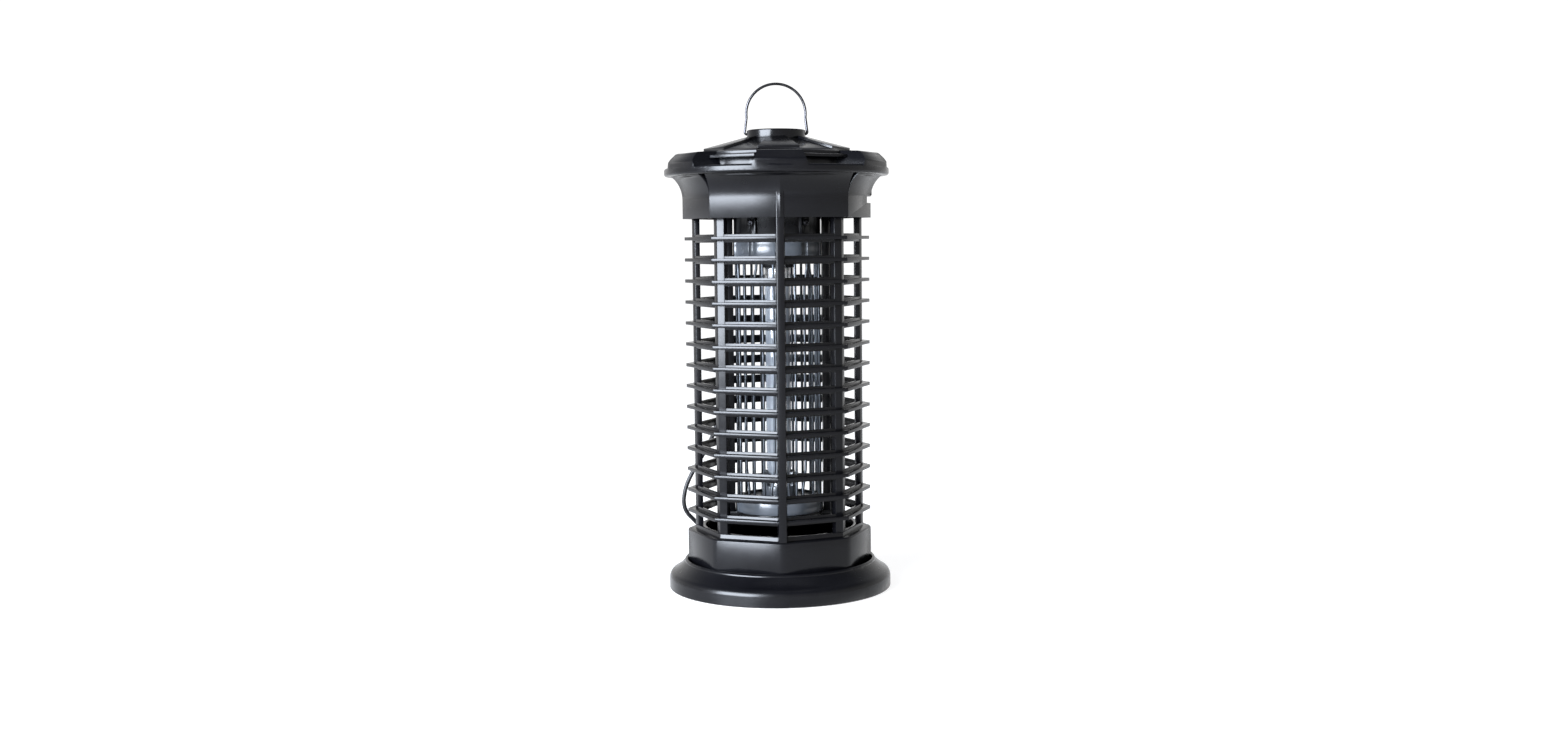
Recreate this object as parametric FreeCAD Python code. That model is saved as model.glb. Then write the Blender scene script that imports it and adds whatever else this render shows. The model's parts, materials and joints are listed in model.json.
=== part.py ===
"""Electric bug zapper lantern: one STEP file per separate piece.

Millimetres.  +Z is up, the origin is the centre of the foot's underside,
one corner of the eight-sided cage points along -Y (the front).
"""
import FreeCAD, Part
import math
import os

from FreeCAD import Vector as V

# ---------------------------------------------------------------- driving dimensions
FOOT_R = 80.7              # round foot, outer radius
FOOT_EDGE_H = 9.2          # upright edge of the foot
SHOULDER_R = 67.8          # crest of the foot's shoulder
SHOULDER_Z = 21.5
BORE_R = 54.0              # round bore through the lower collar
COLLAR_Z0 = 14.0           # lower collar, bottom and top
COLLAR_Z1 = 43.0
COLLAR_STEP = 2.7          # raised step inside the collar's top edge
COLLAR_R = 66.6            # corner radius of the lower collar
BAND_R = 61.2              # louvre band, corner radius outside
BAND_T = 2.2               # louvre band, thickness
BAND_H = 5.8
BLADE_R = 66.6             # louvre blade, corner radius
BLADE_T = 2.4
RING_COUNT = 14
RING_TOP_Z = 253.1         # middle of the uppermost louvre ring
RING_PITCH = 15.12
POST_W = 10.0              # flat posts at six corners
POST_T = 3.6
RIB_W_OUT = 5.4            # front and rear corner ribs
RIB_W_IN = 7.6
RIB_R = 67.0
RIB_TOP = 286.3
UPPER_Z0 = 267.2           # upper collar
UPPER_R = 67.7             # corner radius of its straight part
UPPER_WALL = 2.4
COVE_Z = 281.0             # where its faces start to flare
COVE_R = 20.0              # radius of the flare
RIM_Z0 = 297.3             # underside of the brim
RIM_R = 80.5
SEAT_Z = 313.6             # top of the brim's six raised pads
PANEL_WALL_Z = 308.4       # top of the round wall under the roof's low facets
CAP_R = 21.0
CAP_Z0 = 322.6
CAP_Z1 = 330.1
PIVOT_Z = 327.3            # handle's hinge line, along X
WIRE_R = 1.0
WIRE_FIT = 0.05            # clearance of the wire in the cap's holes
ARCH_R = 21.2              # centre line of the handle's arch
ARCH_Z = 341.7
LEG_SPLAY = 7.3            # degrees
ROD_R = 1.0
ROD_CIRCLE = 30.0
ROD_COUNT = 24
GRID_R = 32.0              # insulator discs
LOW_DISC_Z0 = 56.0
LOW_DISC_Z1 = 66.0
TOP_DISC_Z0 = 239.4
TOP_DISC_Z1 = 251.0
COLUMN_R = 34.6            # middle of the upright bars beside the grid
COLUMN_W = 5.2
COLUMN_D = 16.0
LAMP_R = 9.2
CORD_R = 1.6
TURN = 25.0                # bayonet travel of the foot, degrees

CORNERS = [45.0 * i for i in range(8)]
POST_ANGLES = [0.0, 45.0, 135.0, 180.0, 225.0, 315.0]
RIB_ANGLES = [90.0, 270.0]


# ---------------------------------------------------------------- helpers
def polar(radius, degrees, z=0.0):
    """Point at a radius and an angle counted from +X."""
    a = math.radians(degrees)
    return V(radius * math.cos(a), radius * math.sin(a), z)


def cyl(radius, z0, z1, x=0.0, y=0.0):
    return Part.makeCylinder(radius, z1 - z0, V(x, y, z0))


def tube(outer, inner, z0, z1):
    return cyl(outer, z0, z1).cut(cyl(inner, z0, z1))


def octagon(corner_radius, z0, z1):
    points = [polar(corner_radius, a, z0) for a in CORNERS]
    face = Part.Face(Part.makePolygon(points + points[:1]))
    return face.extrude(V(0, 0, z1 - z0))


def octagon_tube(outer, inner, z0, z1):
    return octagon(outer, z0, z1).cut(octagon(inner, z0, z1))


def box_at(x0, x1, y0, y1, z0, z1):
    return Part.makeBox(x1 - x0, y1 - y0, z1 - z0, V(x0, y0, z0))


def turned(shape, degrees):
    copy = shape.copy()
    copy.rotate(V(0, 0, 0), V(0, 0, 1), degrees)
    return copy


def outline_face(start, steps):
    """Closed face in the XZ plane; a step is (r, z), or ((r, z), (r, z)) for an arc
    through its first point."""
    edges = []
    here = V(start[0], 0, start[1])
    for step in list(steps) + [start]:
        if isinstance(step[0], tuple):
            mid, end = [V(p[0], 0, p[1]) for p in step]
            edges.append(Part.Arc(here, mid, end).toShape())
        else:
            end = V(step[0], 0, step[1])
            if end.distanceToPoint(here) < 1e-6:
                continue
            edges.append(Part.LineSegment(here, end).toShape())
        here = end
    return Part.Face(Part.Wire(edges))


def revolved(start, steps):
    return outline_face(start, steps).revolve(V(0, 0, 0), V(0, 0, 1), 360)


def sector(radius, a0, a1, z0, z1):
    """Pie slice from angle a0 to a1, degrees."""
    return Part.makeCylinder(radius, z1 - z0, V(0, 0, z0), V(0, 0, 1), a1 - a0).rotated(
        V(0, 0, 0), V(0, 0, 1), a0)


def fuse(shapes):
    return shapes[0].multiFuse(shapes[1:]).removeSplitter()


def group(shapes):
    return Part.makeCompound(shapes)


def pan_screw(x, y, z_head, head_r, shank_r, length, up=True):
    """Cross-recess screw: head above z_head when up, shank pointing the other way."""
    s = 1.0 if up else -1.0
    head = Part.makeCylinder(head_r, 0.55 * head_r, V(x, y, z_head), V(0, 0, s))
    dome = Part.makeCone(head_r, 0.6 * head_r, 0.25 * head_r,
                         V(x, y, z_head + s * 0.55 * head_r), V(0, 0, s))
    shank = Part.makeCylinder(shank_r, length, V(x, y, z_head), V(0, 0, -s))
    screw = fuse([head, dome, shank])
    top = z_head + s * 0.8 * head_r
    for w, d in ((0.28, 1.1), (1.1, 0.28)):
        slot = Part.makeBox(w * head_r, d * head_r, head_r,
                            V(x - w * head_r / 2, y - d * head_r / 2, top - head_r / 2))
        screw = screw.cut(slot)
    return screw


# ---------------------------------------------------------------- foot and lower collar
FLOOR_Z = 5.0              # floor of the foot's well
SPIGOT_R = BORE_R - 0.4
SPIGOT_IN = 50.6
SPIGOT_TOP = 34.0
GAP = 0.3                  # between the turning foot and the collar
LUG_Z0 = 27.0
LUG_Z1 = 30.0
LUG_R = 56.0
LUG_HALF = 5.0             # degrees
LUG_ANGLES = [30.0, 150.0, 270.0]
PAD_R = 6.5                # rubber feet
PAD_H = 1.8
PAD_PLACES = [polar(66.0, a) for a in (45.0, 135.0, 225.0, 315.0)]


def make_foot():
    body = revolved((0.0, 2.4), [
        (53.4, 2.4), (53.4, 10.9), (69.0, 10.9),
        (FOOT_R - 3.6, 6.4), (FOOT_R - 3.6, 0.6), (FOOT_R - 0.8, 0.6),
        ((FOOT_R - 0.2, 0.8), (FOOT_R, 1.4)), (FOOT_R, FOOT_EDGE_H - 1.2),
        ((FOOT_R - 0.6, 10.4), (FOOT_R - 1.9, 12.2)), ((73.2, 16.0), (69.6, 19.7)),
        ((68.9, 21.1), (SHOULDER_R, SHOULDER_Z)), ((67.3, 21.2), (67.1, 20.6)),
        (67.1, COLLAR_Z0 - GAP), (SPIGOT_R, COLLAR_Z0 - GAP), (SPIGOT_R, SPIGOT_TOP),
        (SPIGOT_IN, SPIGOT_TOP), (SPIGOT_IN, FLOOR_Z), (0.0, FLOOR_Z)])
    lugs = [sector(LUG_R, a - LUG_HALF, a + LUG_HALF, LUG_Z0, LUG_Z1)
            .cut(cyl(SPIGOT_IN + 1.0, LUG_Z0, LUG_Z1)) for a in LUG_ANGLES]
    bosses = [cyl(PAD_R + 1.4, PAD_H, 11.5, p.x, p.y) for p in PAD_PLACES]
    return fuse([body] + lugs + bosses)


def make_rubber_feet():
    feet = []
    for p in PAD_PLACES:
        foot = cyl(PAD_R, 0.0, PAD_H, p.x, p.y)
        feet.append(foot.makeChamfer(0.4, [foot.Edges[2]]))
    return group(feet)


def make_catch_tray():
    dish = revolved((0.0, FLOOR_Z), [
        (47.6, FLOOR_Z), ((49.44, 5.76), (50.2, 7.6)), (50.2, 31.6), (49.0, 31.6),
        (48.6, 8.0), ((48.1, 7.0), (47.0, 6.6)), (0.0, 6.6)])
    knob = fuse([cyl(9.0, 6.6, 8.0), box_at(-1.2, 1.2, -8.0, 8.0, 8.0, 17.0)])
    return fuse([dish, knob])


def make_lower_collar():
    corner = COLLAR_R + 1.1
    block = octagon(corner, COLLAR_Z0, COLLAR_Z1)
    upright = [e for e in block.Edges if abs(e.BoundBox.ZLength - (COLLAR_Z1 - COLLAR_Z0)) < 1e-6]
    block = block.makeChamfer(2.9, upright)
    top = [e for e in block.Edges if e.BoundBox.ZMin > COLLAR_Z1 - 1e-3]
    block = block.makeChamfer(0.8, top)
    step = octagon(BAND_R, COLLAR_Z1 - 0.5, COLLAR_Z1 + COLLAR_STEP)
    block = fuse([block, step]).cut(cyl(BORE_R, COLLAR_Z0, COLLAR_Z1 + COLLAR_STEP))
    slack = 1.0
    for a in LUG_ANGLES:
        track = sector(LUG_R + 0.4, a - LUG_HALF - slack, a + TURN + LUG_HALF + slack,
                       LUG_Z0 - 0.4, LUG_Z1 + 0.4)
        entry = sector(LUG_R + 0.4, a + TURN - LUG_HALF - slack, a + TURN + LUG_HALF + slack,
                       COLLAR_Z0, LUG_Z1)
        block = block.cut(track).cut(entry)
    return block


# ---------------------------------------------------------------- louvre cage
POST_Z0 = COLLAR_Z1 + COLLAR_STEP


def make_cage_posts():
    """Six bent plates that reach up inside the collar to the brim."""
    shell = octagon_tube(BAND_R, BAND_R - POST_T, POST_Z0, RIM_Z0)
    bar = box_at(50.0, 62.0, -POST_W / 2, POST_W / 2, POST_Z0, RIM_Z0)
    return [shell.common(turned(bar, a)) for a in POST_ANGLES]


def rib_bar():
    """Corner rib on +X, outside the bands, that ends in a slot of the upper collar."""
    points = [V(57.0, -RIB_W_IN / 2, COLLAR_Z1), V(RIB_R, -RIB_W_OUT / 2, COLLAR_Z1),
              V(RIB_R, RIB_W_OUT / 2, COLLAR_Z1), V(57.0, RIB_W_IN / 2, COLLAR_Z1)]
    face = Part.Face(Part.makePolygon(points + points[:1]))
    bar = face.extrude(V(0, 0, RIB_TOP - COLLAR_Z1))
    return bar.cut(octagon(BAND_R, COLLAR_Z1, UPPER_Z0))


def make_cage_ribs():
    return [turned(rib_bar(), a) for a in RIB_ANGLES]


def make_louvre_ring(z, posts, ribs):
    band = octagon_tube(BAND_R, BAND_R - BAND_T, z - BAND_H / 2, z + BAND_H / 2)
    blade = octagon_tube(BLADE_R, BAND_R - 0.4, z - BLADE_T / 2, z + BLADE_T / 2)
    ring = fuse([band, blade])
    for bar in posts + ribs:
        ring = ring.cut(bar)
    return ring


# ---------------------------------------------------------------- upper collar, brim and roof
NOTCH_Z0 = 277.7
NOTCH_Z1 = 282.4
TONGUE = (65.2, 68.6, 0.8, 6.4)    # x and y extent of the snap tongue
FLANGE_R = 70.4            # flat ring that joins the collar's faces under the brim
FLANGE_IN = 62.0
FLANGE_T = 1.4
OUTLET_R = 4.0             # hole for the cord's strain relief in the rear left face
OUTLET_DIR = polar(1.0, 112.5)
OUTLET = OUTLET_DIR * (UPPER_R * math.cos(math.radians(22.5))) + V(0, 0, 273.5)


def collar_face():
    """Section of one flared face of the upper collar, its outward normal along +X."""
    a = UPPER_R * math.cos(math.radians(22.5))
    rise = RIM_Z0 - COVE_Z
    inner_r = COVE_R + UPPER_WALL

    def cove(radius, dz):
        return a + COVE_R - math.sqrt(radius ** 2 - dz ** 2), COVE_Z + dz

    return outline_face((a, UPPER_Z0), [
        (a, COVE_Z), (cove(COVE_R, rise / 2), cove(COVE_R, rise)),
        cove(inner_r, rise), (cove(inner_r, rise / 2), (a - UPPER_WALL, COVE_Z)),
        (a - UPPER_WALL, UPPER_Z0)])


def collar_strip(width):
    strip = collar_face().extrude(V(0, width, 0))
    strip.translate(V(0, -width / 2, 0))
    return strip


def make_upper_collar(ribs):
    """Eight flared faces; the flare is open at the corners except the front and the rear."""
    narrow = collar_strip(2 * UPPER_R * math.sin(math.radians(22.5)))
    wide = collar_strip(UPPER_R)
    flange = tube(FLANGE_R, FLANGE_IN, RIM_Z0 - FLANGE_T, RIM_Z0)
    faces = [turned(narrow, 22.5 + a) for a in CORNERS]
    for a in RIB_ANGLES:
        faces.append(turned(wide, a - 22.5).common(sector(RIM_R, a - 22.5, a, UPPER_Z0, RIM_Z0)))
        faces.append(turned(wide, a + 22.5).common(sector(RIM_R, a, a + 22.5, UPPER_Z0, RIM_Z0)))
    collar = fuse(faces + [flange])
    for rib in ribs:
        collar = collar.cut(rib)
    x0, x1, y0, y1 = TONGUE
    collar = collar.cut(box_at(x0 - 0.2, 80.0, y0 - 0.2, y1 + 0.2, NOTCH_Z0, RIM_Z0))
    collar = collar.cut(box_at(64.0, 80.0, -8.0, 8.0, NOTCH_Z0, NOTCH_Z1))
    hole = Part.makeCylinder(OUTLET_R, 8.0, OUTLET - OUTLET_DIR * 5.0, OUTLET_DIR)
    return collar.cut(hole)


def make_lid_latch():
    x0, x1, y0, y1 = TONGUE
    tongue = box_at(x0, x1, y0, y1, NOTCH_Z1, RIM_Z0)
    tip = [e for e in tongue.Edges if e.BoundBox.ZMax < NOTCH_Z1 + 1e-3 and e.BoundBox.XMin > x1 - 1e-3]
    return tongue.makeChamfer(1.0, tip)


BRIM_TOP = 300.3
PAD_ANGLES = [270.0 + 60.0 * i for i in range(6)]
CAN_HOLE_R = 33.0
ROOF_SCREW_R = 1.3         # three screws from below hold the roof on the brim
ROOF_SCREW_L = 15.0
ROOF_SCREW_PLACES = [polar(53.4, a + 30.0) for a in PAD_ANGLES[::2]]
SCREW_BOSS_R = 3.0
SCREW_BOSS_Z = 311.2
CAP_SCREW_R = 1.6


def raised_pad():
    """Pad on +X that carries one raised facet of the roof, with sloping sides."""
    face = outline_face((47.0, BRIM_TOP - 0.5), [
        (47.0, SEAT_Z), (71.6, SEAT_Z - 1.0), ((73.4, SEAT_Z - 1.5), (74.8, SEAT_Z - 2.8)),
        ((RIM_R - 2.8, 307.6), (RIM_R - 0.9, 303.2)),
        ((RIM_R - 0.5, 301.8), (RIM_R - 0.5, BRIM_TOP - 0.5))])
    body = face.extrude(V(0, 44.0, 0))
    body.translate(V(0, -22.0, 0))
    half = [(19.8, BRIM_TOP - 0.5), (18.6, 303.6), (14.8, SEAT_Z)]
    points = [V(40.0, y, z) for y, z in half] + [V(40.0, -y, z) for y, z in reversed(half)]
    gable = Part.Face(Part.makePolygon(points + points[:1])).extrude(V(45.0, 0, 0))
    return body.common(gable)


def make_rim_ring():
    brim = revolved((CAN_HOLE_R, RIM_Z0), [
        (RIM_R - 1.7, RIM_Z0), ((RIM_R - 0.5, 297.8), (RIM_R, 299.0)), (RIM_R, 301.2),
        ((RIM_R - 0.5, 302.4), (RIM_R - 1.7, 302.9)), (RIM_R - 3.9, 302.9), (RIM_R - 4.9, BRIM_TOP),
        (59.5, BRIM_TOP), (59.5, PANEL_WALL_Z), (57.5, PANEL_WALL_Z), (57.5, BRIM_TOP),
        (CAN_HOLE_R, BRIM_TOP)])
    pads = [turned(raised_pad(), a) for a in PAD_ANGLES]
    bosses = [cyl(SCREW_BOSS_R, RIM_Z0, SCREW_BOSS_Z, p.x, p.y) for p in ROOF_SCREW_PLACES]
    rim = fuse([brim] + pads + bosses)
    round_limit = cyl(RIM_R, RIM_Z0, SEAT_Z + 1.0)
    return rim.common(round_limit)


WELL_R = CAP_R + 0.4
ROOF_FLOOR = 320.2


def roof_sector(outline, centre_angle, half_angle):
    """Flat facet of the roof: an outline extruded sideways and trimmed to its sector."""
    face = outline_face(outline[0], outline[1:])
    body = face.extrude(V(0, 80.0, 0))
    body.translate(V(0, -40.0, 0))
    return turned(body, centre_angle).common(
        sector(90.0, centre_angle - half_angle, centre_angle + half_angle, 300.0, 330.0))


def make_roof_cover(rim):
    raised = [(18.0, ROOF_FLOOR), (18.0, 325.9), (51.6, 316.4), (51.6, SEAT_Z), (47.4, SEAT_Z)]
    low = [(18.0, ROOF_FLOOR), (18.0, 324.4), (58.2, 313.0), (58.2, 311.4), (64.4, 310.2),
           (64.4, PANEL_WALL_Z), (56.2, PANEL_WALL_Z), (54.6, 310.6)]
    sectors = [roof_sector(raised, a, 15.5) for a in PAD_ANGLES]
    sectors += [roof_sector(low, a + 30.0, 15.0) for a in PAD_ANGLES]
    disc = cyl(23.0, ROOF_FLOOR, CAP_Z0)
    roof = fuse(sectors + [disc]).cut(cyl(WELL_R, CAP_Z0, 330.0)).cut(rim)
    for p in ROOF_SCREW_PLACES:
        roof = roof.cut(cyl(ROOF_SCREW_R, RIM_Z0, RIM_Z0 + ROOF_SCREW_L, p.x, p.y))
    return roof.cut(cyl(CAP_SCREW_R, ROOF_FLOOR, CAP_Z0))


def make_hanger_cap():
    cap = revolved((4.0, CAP_Z0), [
        (4.0, 328.6), (18.6, 328.6), (18.6, CAP_Z0), (CAP_R, CAP_Z0), (CAP_R, 329.2),
        ((20.7, 329.8), (20.0, CAP_Z1)), (0.0, CAP_Z1), (0.0, CAP_Z0)])
    pin_hole = Part.makeCylinder(WIRE_R + WIRE_FIT, 60.0, V(-30.0, 0, PIVOT_Z), V(1, 0, 0))
    pin_hole = pin_hole.cut(Part.makeCylinder(3.0, 30.0, V(-15.0, 0, PIVOT_Z), V(1, 0, 0)))
    screw_hole = cyl(CAP_SCREW_R, CAP_Z0, CAP_Z0 + 5.0)
    return cap.cut(pin_hole).cut(screw_hole)


def make_bail_handle():
    """Round wire: hooked end, splayed leg, arch, and the same again mirrored."""
    splay = math.radians(LEG_SPLAY)
    bend = 1.5
    pin_tip = V(16.6, 0, PIVOT_Z)
    leg_top = V(ARCH_R * math.cos(splay), 0, ARCH_Z - ARCH_R * math.sin(splay))
    leg_dir = V(math.sin(splay), 0, -math.cos(splay))
    corner = leg_top + leg_dir * ((leg_top.z - PIVOT_Z) / math.cos(splay))
    reach = bend * math.tan((math.pi / 2 + splay) / 2)
    pin_end = corner - V(reach, 0, 0)
    leg_end = corner - leg_dir * reach
    centre = V(pin_end.x, 0, PIVOT_Z + bend)
    middle = corner - centre
    middle = centre + middle.normalize() * bend
    half = [Part.LineSegment(pin_tip, pin_end).toShape(),
            Part.Arc(pin_end, middle, leg_end).toShape(),
            Part.LineSegment(leg_end, leg_top).toShape()]
    arch = Part.Arc(leg_top, V(0, 0, ARCH_Z + ARCH_R), V(-leg_top.x, 0, leg_top.z)).toShape()
    other = [Part.LineSegment(mirrored(leg_top), mirrored(leg_end)).toShape(),
             Part.Arc(mirrored(leg_end), mirrored(middle), mirrored(pin_end)).toShape(),
             Part.LineSegment(mirrored(pin_end), mirrored(pin_tip)).toShape()]
    path = Part.Wire(half + [arch] + other)
    section = Part.Wire(Part.makeCircle(WIRE_R, pin_tip, V(1, 0, 0)))
    return path.makePipeShell([section], True, False)


def mirrored(p):
    return V(-p.x, p.y, p.z)


# ---------------------------------------------------------------- killing grid and lamp
FLUTE_R = 3.0              # flutes round the edge of the upper insulator
FLUTE_OUT = 1.0


def rod_angle(i):
    return 360.0 / ROD_COUNT * (i + 0.5)


def make_rods(first):
    """Every second rod of the circle, each rod a separate solid."""
    rods = []
    for i in range(first, ROD_COUNT, 2):
        p = polar(ROD_CIRCLE, rod_angle(i))
        rods.append(cyl(ROD_R, LOW_DISC_Z1, TOP_DISC_Z0, p.x, p.y))
    return rods


def make_conductor_ring(z, first, rods):
    """Flat ring just inside the rods with a tab that touches every second rod."""
    ring = tube(27.6, 25.6, z, z + 1.2)
    tabs = [turned(box_at(27.0, ROD_CIRCLE, -1.0, 1.0, z, z + 1.2), rod_angle(i))
            for i in range(first, ROD_COUNT, 2)]
    ring = fuse([ring] + tabs)
    for rod in rods:
        ring = ring.cut(rod)
    return ring


def make_insulator(z0, z1, centre_r, flutes):
    """Disc with round flutes in its edge, evenly spaced from the front."""
    disc = tube(GRID_R - 0.2, centre_r, z0, z1)
    for i in range(flutes):
        p = polar(GRID_R + FLUTE_OUT, 270.0 + 360.0 / flutes * i)
        disc = disc.cut(cyl(FLUTE_R, z0, z1, p.x, p.y))
    return disc


def make_grid_column(side):
    x = side * COLUMN_R
    return box_at(x - COLUMN_W / 2, x + COLUMN_W / 2, -COLUMN_D / 2, COLUMN_D / 2,
                  LOW_DISC_Z0, RIM_Z0)


def make_grid_base():
    plate = cyl(GRID_R, 52.0, LOW_DISC_Z0)
    reach = COLUMN_R + COLUMN_W / 2
    arms = box_at(-reach, reach, -COLUMN_D / 2, COLUMN_D / 2, 52.0, LOW_DISC_Z0)
    hub = cyl(6.0, 46.0, 52.0)
    return fuse([plate, arms, hub])


LAMP_Z0 = 74.0             # lamp, cap to cap
LAMP_Z1 = 232.0
LAMP_CAP_H = 8.0
LAMP_CAP_R = 9.4
PIN_R = 0.9
PIN_X = 3.2
PIN_H = 4.0
SOCKET_R = 12.6


def make_lamp_tube():
    glass = tube(LAMP_R, LAMP_R - 0.8, LAMP_Z0 + LAMP_CAP_H, LAMP_Z1 - LAMP_CAP_H)
    ends = [cyl(LAMP_R - 0.8, LAMP_Z0 + LAMP_CAP_H, LAMP_Z0 + LAMP_CAP_H + 1.0),
            cyl(LAMP_R - 0.8, LAMP_Z1 - LAMP_CAP_H - 1.0, LAMP_Z1 - LAMP_CAP_H)]
    return fuse([glass] + ends)


def make_lamp_caps():
    return group([cyl(LAMP_CAP_R, LAMP_Z0, LAMP_Z0 + LAMP_CAP_H),
                  cyl(LAMP_CAP_R, LAMP_Z1 - LAMP_CAP_H, LAMP_Z1)])


def make_lamp_pins():
    pins = []
    for x in (-PIN_X, PIN_X):
        pins.append(cyl(PIN_R, LAMP_Z0 - PIN_H, LAMP_Z0, x, 0.0))
        pins.append(cyl(PIN_R, LAMP_Z1, LAMP_Z1 + PIN_H, x, 0.0))
    return pins


def make_lamp_socket_bottom(pins):
    """Round holder with six fingers that grip the lamp's end."""
    body = cyl(SOCKET_R, LOW_DISC_Z1, LAMP_Z0)
    fingers = [turned(box_at(LAMP_CAP_R + 0.2, SOCKET_R - 0.4, -2.2, 2.2, LAMP_Z0, 84.0), 60.0 * i + 30.0)
               for i in range(6)]
    socket = fuse([body] + fingers)
    for pin in pins:
        socket = socket.cut(pin)
    return socket


def make_lamp_socket_top(pins):
    body = cyl(SOCKET_R, LAMP_Z1, TOP_DISC_Z0)
    for pin in pins:
        body = body.cut(pin)
    return body


# ---------------------------------------------------------------- drive electronics
CAN_R = 31.2
CAN_Z0 = TOP_DISC_Z1
CAN_WALL = 2.0
BOSS_ANGLES = [236.0, 304.0, 56.0, 124.0]
BOSS_R = 3.3
CAN_SCREW_Z = 264.0
BOARD_Z = 284.0


def make_can_screws():
    screws = []
    for a in BOSS_ANGLES:
        screw = pan_screw(0.0, 0.0, 0.0, 2.3, 1.1, 5.0)
        screw.rotate(V(0, 0, 0), V(0, 1, 0), 90)
        screw.translate(V(CAN_R + BOSS_R - 0.4, 0, CAN_SCREW_Z))
        screws.append(turned(screw, a))
    return screws


def make_driver_can(screws):
    can = revolved((0.0, CAN_Z0), [
        (CAN_R, CAN_Z0), (CAN_R, BRIM_TOP), (36.0, BRIM_TOP), (36.0, 302.3),
        (CAN_R - CAN_WALL, 302.3), (CAN_R - CAN_WALL, CAN_Z0 + CAN_WALL), (0.0, CAN_Z0 + CAN_WALL)])
    bosses = []
    for a in BOSS_ANGLES:
        boss = box_at(CAN_R - 1.5, CAN_R + BOSS_R - 0.4, -BOSS_R, BOSS_R, CAN_Z0, CAN_SCREW_Z + 5.0)
        bosses.append(turned(boss, a))
    stand_offs = [cyl(2.5, CAN_Z0 + CAN_WALL - 0.5, BOARD_Z, x, y)
                  for x in (-20.0, 20.0) for y in (-12.0, 12.0)]
    can = fuse([can] + bosses + stand_offs)
    for screw in screws:
        can = can.cut(screw)
    return can


def make_can_lid():
    return revolved((0.0, 302.3), [(36.0, 302.3), (36.0, 303.5), (35.2, 304.3), (0.0, 304.3)])


def make_circuit_board():
    return cyl(CAN_R - CAN_WALL - 0.4, BOARD_Z, BOARD_Z + 1.6)


def make_transformer():
    core = box_at(-9.0, 9.0, -8.0, 8.0, BOARD_Z - 16.0, BOARD_Z)
    window = box_at(-9.0, 9.0, -5.5, 5.5, BOARD_Z - 13.5, BOARD_Z - 2.5)
    bobbin = Part.makeCylinder(5.8, 18.0, V(-9.0, 0, BOARD_Z - 8.0), V(1, 0, 0))
    return fuse([core.cut(window), bobbin])


def make_capacitors():
    caps = []
    for x, y, r, h in ((-17.0, 0.0, 4.0, 14.0), (17.0, 0.0, 4.0, 14.0),
                       (0.0, 16.0, 5.0, 18.0), (0.0, -16.0, 5.0, 18.0)):
        can = cyl(r, BOARD_Z - h, BOARD_Z, x, y)
        caps.append(can.makeFillet(0.6, [e for e in can.Edges if e.BoundBox.ZMax < BOARD_Z - h + 1e-3]))
    return group(caps)


# ---------------------------------------------------------------- cord and plug
RELIEF_L = 22.0            # length of the strain relief outside the collar
LEAD_POINTS = [            # from the strain relief down behind the cage to the coil
    (-32.35, 78.11, 273.5), (-36.2, 87.4, 273.4), (-39.9, 96.3, 267.4), (-42.3, 102.0, 255.9),
    (-43.0, 101.4, 238.0), (-42.0, 96.4, 213.0), (-40.6, 89.6, 185.0), (-41.4, 82.6, 157.0),
    (-41.2, 76.8, 131.0), (-45.2, 70.4, 110.0), (-53.0, 64.8, 93.0), (-63.0, 62.6, 78.0),
    (-70.6, 62.0, 62.6), (-72.0, 63.0, 46.2), (-61.4, 67.4, 34.6), (-53.4, 76.0, 24.0),
    (-49.0, 87.6, 13.6), (-47.6, 100.2, 5.4), (-46.6, 112.4, 1.7), (-44.5, 122.4, 2.0)]
COIL_C = (-24.0, 128.0)
COIL_MID_R = 17.6
COIL_PITCH = 3.3           # from one turn to the next, sideways and up
COIL_TURNS_WIDE = 3
COIL_LAYERS = 4
COIL_HALF = COIL_PITCH * COIL_TURNS_WIDE / 2
TIE_T = 0.6
COIL_TOP = TIE_T + COIL_PITCH * COIL_LAYERS
TIE_W = 5.0
TIE_ANGLE = 300.0
TAIL_POINTS = [            # from the coil to the plug
    (-22.0, 147.6, 12.1), (-11.4, 148.6, 11.9), (-1.0, 147.2, 10.6), (8.4, 143.8, 9.4),
    (17.6, 139.8, 9.0)]
PLUG_DIR = V(9.2, -4.1, 0.0).normalize()


def rounded_path(points):
    """Straight runs joined by tangent arcs, each as large as its two runs allow."""
    p = [V(*q) for q in points]
    edges = []
    here = p[0]
    length = 0.0
    radii = []
    for i in range(1, len(p) - 1):
        a = (p[i - 1] - p[i])
        b = (p[i + 1] - p[i])
        shorter = min(a.Length, b.Length)
        a.normalize()
        b.normalize()
        turn = math.pi - a.getAngle(b)
        reach = 0.45 * shorter
        radius = reach / math.tan(turn / 2)
        start = p[i] + a * reach
        end = p[i] + b * reach
        inward = (a + b).normalize()
        middle = p[i] + inward * (radius / math.cos(turn / 2) - radius)
        edges.append(Part.LineSegment(here, start).toShape())
        edges.append(Part.Arc(start, middle, end).toShape())
        length += start.distanceToPoint(here) + radius * turn
        radii.append(radius)
        here = end
    edges.append(Part.LineSegment(here, p[-1]).toShape())
    length += p[-1].distanceToPoint(here)
    return Part.Wire(edges), length, radii


def make_cord_tube(name, points):
    path, length, radii = rounded_path(points)
    start = V(*points[0])
    direction = V(*points[1]) - start
    section = Part.Wire(Part.makeCircle(CORD_R, start, direction))
    solid = path.makePipeShell([section], True, False)
    ratio = solid.Volume / (math.pi * CORD_R ** 2 * length)
    print(f"{name}: length {length:.1f} mm, volume / (section x length) {ratio:.4f}, "
          f"arc radii " + " ".join(f"{r:.0f}" for r in radii))
    return solid


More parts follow.
